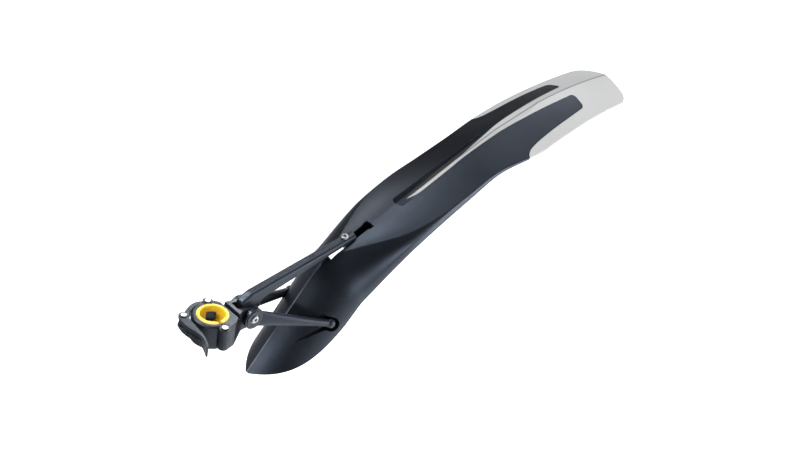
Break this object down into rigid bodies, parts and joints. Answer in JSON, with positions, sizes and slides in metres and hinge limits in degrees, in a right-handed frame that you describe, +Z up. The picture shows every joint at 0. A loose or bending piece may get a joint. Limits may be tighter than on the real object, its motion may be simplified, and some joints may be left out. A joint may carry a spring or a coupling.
{
  "type": "bicycle mudguard",
  "caption": "Quick-release rear bicycle mudguard: long dark blade with a light tail, carried on tilting arms by a hinged seatpost clamp with a cam lever and a yellow sleeve.",
  "frame": {"origin": "middle of the clamp's bore, on the seatpost's axis", "axes": "+Z up along the seatpost, +X rearward to the tail, +Y to the bicycle's right"},
  "size_m": [0.6302, 0.1012, 0.2435],
  "materials": {
    "dark_plastic": "matte",
    "clamp_plastic": "matte",
    "light_plastic": "satin",
    "yellow_sleeve": "satin",
    "bright_steel": "polished",
    "nut_plastic": "matte"
  },
  "bodies": {
    "root": {"bracket": "clamp_plastic", "sleeve_rear": "yellow_sleeve", "link_pin": "bright_steel"},
    "jaw": {"clamp_jaw": "clamp_plastic", "sleeve_front": "yellow_sleeve", "jaw_hinge_pin": "bright_steel"},
    "link": {"swing_link": "clamp_plastic"},
    "lever": {"cam_lever": "clamp_plastic", "lever_pin": "bright_steel"},
    "arms": {"side_arm_left": "dark_plastic", "side_arm_right": "dark_plastic", "pivot_bolt": "bright_steel", "pivot_washer": "bright_steel", "pivot_nut": "bright_steel", "socket_screw_left": "bright_steel", "socket_screw_right": "bright_steel"},
    "blade": {"blade_shell": "dark_plastic", "tail_flap": "light_plastic"},
    "top": {"top_arm": "dark_plastic", "slot_screw": "bright_steel", "slide_nut": "nut_plastic"}
  },
  "joints": [
    {"name": "jaw_open", "type": "hinge", "parent": "root", "child": "jaw", "pos_m": [-0.00367, -0.02555, 0], "axis": [0, 0, 1], "range_deg": [0, 50]},
    {"name": "link_swing", "type": "hinge", "parent": "root", "child": "link", "pos_m": [0.00906, 0.02079, 0], "axis": [0, 0, 1], "range_deg": [-100, 0]},
    {"name": "lever_open", "type": "hinge", "parent": "link", "child": "lever", "pos_m": [-0.02712, 0.01366, 0], "axis": [0, 0, 1], "range_deg": [-110, 0]},
    {"name": "guard_tilt", "type": "hinge", "parent": "root", "child": "arms", "pos_m": [0.0453, 0, 0], "axis": [0, -1, 0], "range_deg": [-15, 15]},
    {"name": "blade_pitch", "type": "hinge", "parent": "arms", "child": "blade", "pos_m": [0.14027, 0, -0.03067], "axis": [0, -1, 0], "range_deg": [-7, 7]},
    {"name": "top_arm_follow", "type": "hinge", "parent": "arms", "child": "top", "pos_m": [0.0453, 0, 0], "axis": [0, -1, 0], "range_deg": [-3.5, 3.5]}
  ],
  "couplings": [
    {"joint": "link_swing", "follows": "lever_open", "ratio": 0.909},
    {"joint": "jaw_open", "follows": "lever_open", "ratio": -0.4545},
    {"joint": "top_arm_follow", "follows": "blade_pitch", "ratio": 0.48}
  ]
}
